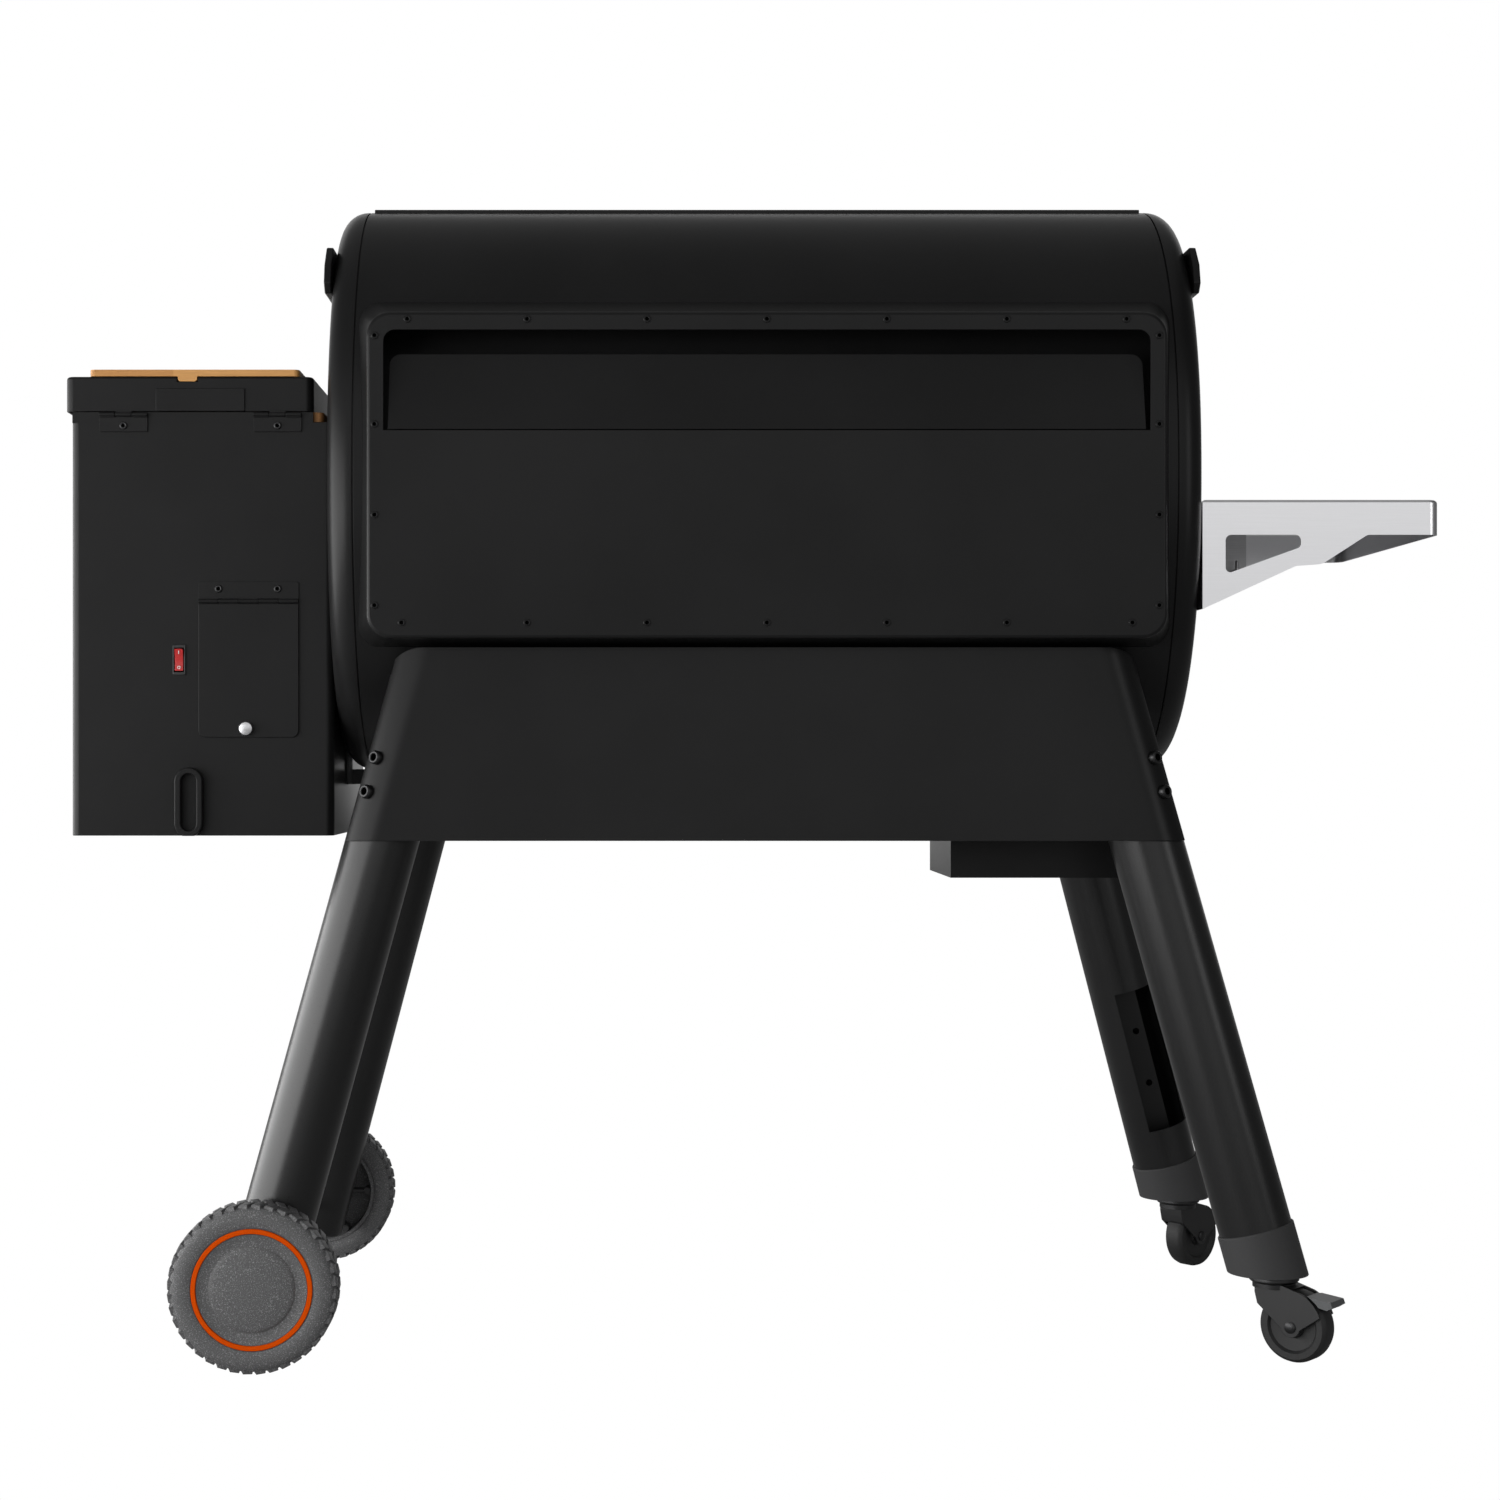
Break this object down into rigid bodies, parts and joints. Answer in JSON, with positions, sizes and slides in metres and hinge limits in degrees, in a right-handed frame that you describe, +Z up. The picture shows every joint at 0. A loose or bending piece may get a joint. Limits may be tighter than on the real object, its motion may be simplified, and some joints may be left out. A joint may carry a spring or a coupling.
{
  "type": "pellet smoker grill",
  "caption": "Barrel pellet smoker on splayed tube legs with a hinged lid, side hopper, rear exhaust box, folded side shelf, wheels and swivel casters.",
  "frame": {"origin": "on the floor under the middle of the bounding box", "axes": "+X towards the pellet hopper, +Y towards the rear exhaust, +Z up; the lid handle faces -Y"},
  "size_m": [1.477, 0.636, 1.246],
  "materials": {
    "black_powder_coat": "satin black powder coat with a fine texture",
    "satin_black_tube": "semi-gloss black powder coat",
    "bare_inner_steel": "dull heat-stained sheet steel",
    "plain_steel": "plain steel",
    "brushed_stainless": "brushed stainless steel",
    "speckled_rubber": "matt dark grey rubber with a light speckle",
    "caster_tread": "matt dark tread",
    "grey_plastic": "matt dark grey moulding",
    "black_plastic": "matt black moulding",
    "light_grey_plastic": "matt light grey moulding",
    "bamboo": "oiled bamboo in narrow glued strips",
    "red_plastic": "gloss red moulding"
  },
  "bodies": {
    "frame": {"barrel_shell": "black_powder_coat", "chamber_liner": "bare_inner_steel", "body_end_hopper_side": "black_powder_coat", "body_end_shelf_side": "black_powder_coat", "exhaust_cover": "black_powder_coat", "exhaust_baffle": "black_powder_coat", "rear_apron": "black_powder_coat", "front_apron": "black_powder_coat", "hopper_leg_rear": "satin_black_tube", "hopper_leg_front": "satin_black_tube", "shelf_leg_rear": "satin_black_tube", "shelf_leg_front": "satin_black_tube", "leg_cap_rear": "grey_plastic", "leg_cap_front": "grey_plastic", "wheel_axle": "plain_steel", "hopper_body": "black_powder_coat", "hopper_funnel": "bare_inner_steel", "cleanout_hinge_leaf": "plain_steel", "switch_bezel": "black_plastic", "controller_panel": "black_plastic", "side_shelf": "brushed_stainless", "shelf_rail": "satin_black_tube", "tool_hooks": "plain_steel", "grease_housing": "black_powder_coat", "fire_pot": "bare_inner_steel", "auger_tube": "bare_inner_steel", "auger_motor": "plain_steel", "fan_housing": "black_plastic", "heat_baffle": "bare_inner_steel", "temperature_probe": "plain_steel"},
    "lid": {"lid_skin": "black_powder_coat", "lid_liner": "bare_inner_steel", "lid_end_hopper_side": "black_powder_coat", "lid_end_shelf_side": "black_powder_coat", "lid_hinge_arm_hopper_side": "black_powder_coat", "lid_hinge_arm_shelf_side": "black_powder_coat", "lid_handle": "brushed_stainless"},
    "wheel_rear": {"wheel_tyre_rear": "speckled_rubber", "wheel_hub_rear": "grey_plastic"},
    "wheel_front": {"wheel_tyre_front": "speckled_rubber", "wheel_hub_front": "grey_plastic"},
    "caster_rear": {"caster_fork_rear": "black_plastic"},
    "caster_front": {"caster_fork_front": "black_plastic"},
    "caster_roller_rear": {"caster_wheel_rear": "caster_tread"},
    "caster_roller_front": {"caster_wheel_front": "caster_tread"},
    "brake_pedal": {"caster_brake_pedal": "light_grey_plastic"},
    "hopper_cover": {"hopper_lid": "black_powder_coat"},
    "board": {"cutting_board": "bamboo"},
    "cleanout": {"cleanout_door": "black_powder_coat", "cleanout_knob": "plain_steel"},
    "rocker": {"switch_rocker": "red_plastic"},
    "dial": {"controller_dial": "plain_steel"},
    "button_1": {"controller_button_1": "black_plastic"},
    "button_2": {"controller_button_2": "black_plastic"},
    "grease_drawer": {"grease_tray": "plain_steel"},
    "auger_screw": {"auger": "plain_steel"},
    "fan_rotor": {"fan_wheel": "black_plastic"},
    "grate_lower": {"lower_grate": "plain_steel"},
    "grate_upper": {"upper_grate": "plain_steel"},
    "drip": {"drip_tray": "bare_inner_steel"}
  },
  "joints": [
    {"name": "lid_hinge", "type": "hinge", "parent": "frame", "child": "lid", "pos_m": [-0.0195, 0.115, 1.155], "axis": [-1, 0, 0], "range_deg": [0, 75]},
    {"name": "wheel_rear_spin", "type": "hinge", "parent": "frame", "child": "wheel_rear", "pos_m": [0.5065, 0.296, 0.0865], "axis": [0, 1, 0], "continuous": true},
    {"name": "wheel_front_spin", "type": "hinge", "parent": "frame", "child": "wheel_front", "pos_m": [0.5065, -0.296, 0.0865], "axis": [0, 1, 0], "continuous": true},
    {"name": "caster_rear_swivel", "type": "hinge", "parent": "frame", "child": "caster_rear", "pos_m": [-0.5505, 0.237, 0.08], "axis": [0, 0, 1], "continuous": true},
    {"name": "caster_front_swivel", "type": "hinge", "parent": "frame", "child": "caster_front", "pos_m": [-0.5505, -0.237, 0.08], "axis": [0, 0, 1], "continuous": true},
    {"name": "caster_rear_spin", "type": "hinge", "parent": "caster_rear", "child": "caster_roller_rear", "pos_m": [-0.5705, 0.254, 0.0375], "axis": [-0.6476, -0.7619, 0], "continuous": true},
    {"name": "caster_front_spin", "type": "hinge", "parent": "caster_front", "child": "caster_roller_front", "pos_m": [-0.5705, -0.254, 0.0375], "axis": [0.6476, -0.7619, 0], "continuous": true},
    {"name": "brake_pedal_press", "type": "hinge", "parent": "caster_rear", "child": "brake_pedal", "pos_m": [-0.58345, 0.26501, 0.0686], "axis": [-0.6476, -0.7619, 0], "range_deg": [0, 5]},
    {"name": "hopper_lid_hinge", "type": "hinge", "parent": "frame", "child": "hopper_cover", "pos_m": [0.5905, 0.127, 1.0008], "axis": [-1, 0, 0], "range_deg": [0, 95]},
    {"name": "cutting_board_lift", "type": "slide", "parent": "hopper_cover", "child": "board", "axis": [0, 0, 1], "range_m": [0, 0.06]},
    {"name": "cleanout_door_hinge", "type": "hinge", "parent": "frame", "child": "cleanout", "pos_m": [0.5385, 0.1258, 0.7976], "axis": [1, 0, 0], "range_deg": [0, 110]},
    {"name": "power_rocker_tip", "type": "hinge", "parent": "frame", "child": "rocker", "pos_m": [0.6144, 0.124, 0.7337], "axis": [1, 0, 0], "range_deg": [0, 14]},
    {"name": "dial_turn", "type": "hinge", "parent": "frame", "child": "dial", "pos_m": [0.5405, -0.2, 0.905], "axis": [0, -1, 0], "continuous": true},
    {"name": "button_1_press", "type": "slide", "parent": "frame", "child": "button_1", "axis": [0, 1, 0], "range_m": [0, 0.002], "stiffness_N_per_m": 400},
    {"name": "button_2_press", "type": "slide", "parent": "frame", "child": "button_2", "axis": [0, 1, 0], "range_m": [0, 0.002], "stiffness_N_per_m": 400},
    {"name": "grease_tray_slide", "type": "slide", "parent": "frame", "child": "grease_drawer", "axis": [-1, 0, 0], "range_m": [0, 0.17]},
    {"name": "auger_spin", "type": "hinge", "parent": "frame", "child": "auger_screw", "pos_m": [0.3405, -0.025, 0.69], "axis": [1, 0, 0], "continuous": true},
    {"name": "fan_spin", "type": "hinge", "parent": "frame", "child": "fan_rotor", "pos_m": [0.4705, 0.062, 0.69], "axis": [1, 0, 0], "continuous": true},
    {"name": "lower_grate_lift", "type": "slide", "parent": "frame", "child": "grate_lower", "axis": [0, 0, 1], "range_m": [0, 0.035]},
    {"name": "upper_grate_lift", "type": "slide", "parent": "frame", "child": "grate_upper", "axis": [0, 0, 1], "range_m": [0, 0.035]},
    {"name": "drip_tray_lift", "type": "slide", "parent": "frame", "child": "drip", "axis": [0, 0, 1], "range_m": [0, 0.025]}
  ]
}
